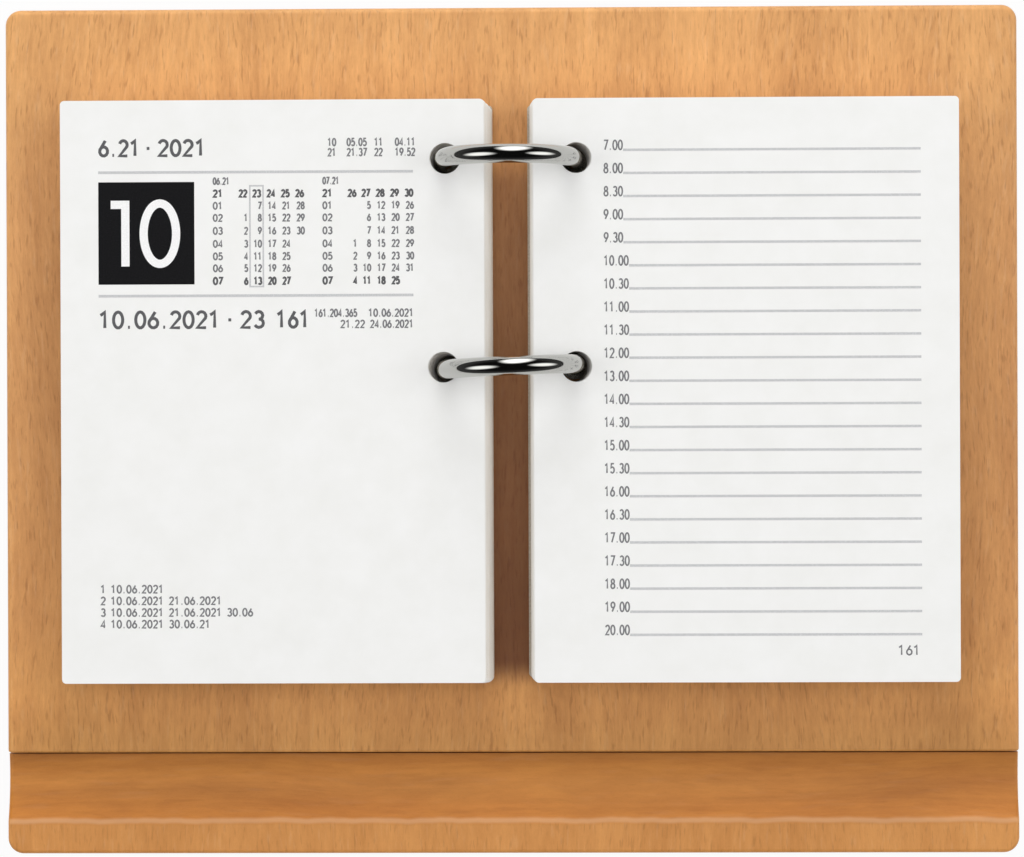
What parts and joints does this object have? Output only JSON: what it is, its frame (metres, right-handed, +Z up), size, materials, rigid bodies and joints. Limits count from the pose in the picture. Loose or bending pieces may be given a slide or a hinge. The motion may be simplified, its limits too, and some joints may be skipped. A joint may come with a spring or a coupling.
{
  "type": "desk calendar with drawer",
  "caption": "Loose-leaf desk calendar: two stacks of leaves on wire ring bows, on a beech stand whose full-width drawer front carries a pen groove.",
  "frame": {"origin": "on the desk, under the middle of the stand's outline", "axes": "+X to the right along the stand's width, +Y to the rear, +Z up"},
  "size_m": [0.195, 0.163, 0.0635],
  "materials": {
    "beech_board": "satin lacquer, grain front to rear",
    "beech_case": "satin lacquer, grain along the rail",
    "beech_front": "satin lacquer, grain along the front",
    "drawer_wood": "planed, unlacquered",
    "plywood": "sanded",
    "runner_wood": "waxed",
    "chrome_wire": "polished",
    "socket_metal": "nickel plated",
    "screw_steel": "zinc plated",
    "leaf_paper": "uncoated white",
    "card": "plain grey-white board",
    "felt": "pressed felt"
  },
  "bodies": {
    "stand": {"top_board": "beech_board", "left_rail": "beech_case", "right_rail": "beech_case", "back_rail": "beech_case", "bottom_panel": "plywood", "left_runner": "runner_wood", "right_runner": "runner_wood", "panel_screws": "screw_steel", "felt_feet": "felt", "stop_batten": "runner_wood", "ring_sockets": "socket_metal", "past_leaves": "leaf_paper", "coming_leaves": "leaf_paper", "cover_card": "card", "back_card": "card"},
    "drawer": {"drawer_front": "beech_front", "drawer_left_side": "drawer_wood", "drawer_right_side": "drawer_wood", "drawer_back": "drawer_wood", "drawer_bottom": "plywood"},
    "rear_bow": {"rear_bow": "chrome_wire"},
    "front_bow": {"front_bow": "chrome_wire"},
    "leaf": {"turning_leaf": "leaf_paper"}
  },
  "joints": [
    {"name": "drawer_slide", "type": "slide", "parent": "stand", "child": "drawer", "axis": [0, -1, 0], "range_m": [0, 0.085]},
    {"name": "rear_bow_lift", "type": "slide", "parent": "stand", "child": "rear_bow", "axis": [0, 0, 1], "range_m": [0, 0.026]},
    {"name": "front_bow_lift", "type": "slide", "parent": "stand", "child": "front_bow", "axis": [0, 0, 1], "range_m": [0, 0.026]},
    {"name": "leaf_turn", "type": "hinge", "parent": "stand", "child": "leaf", "pos_m": [0, 0, 0.04961], "axis": [0, -1, 0], "range_deg": [0, 180]}
  ]
}
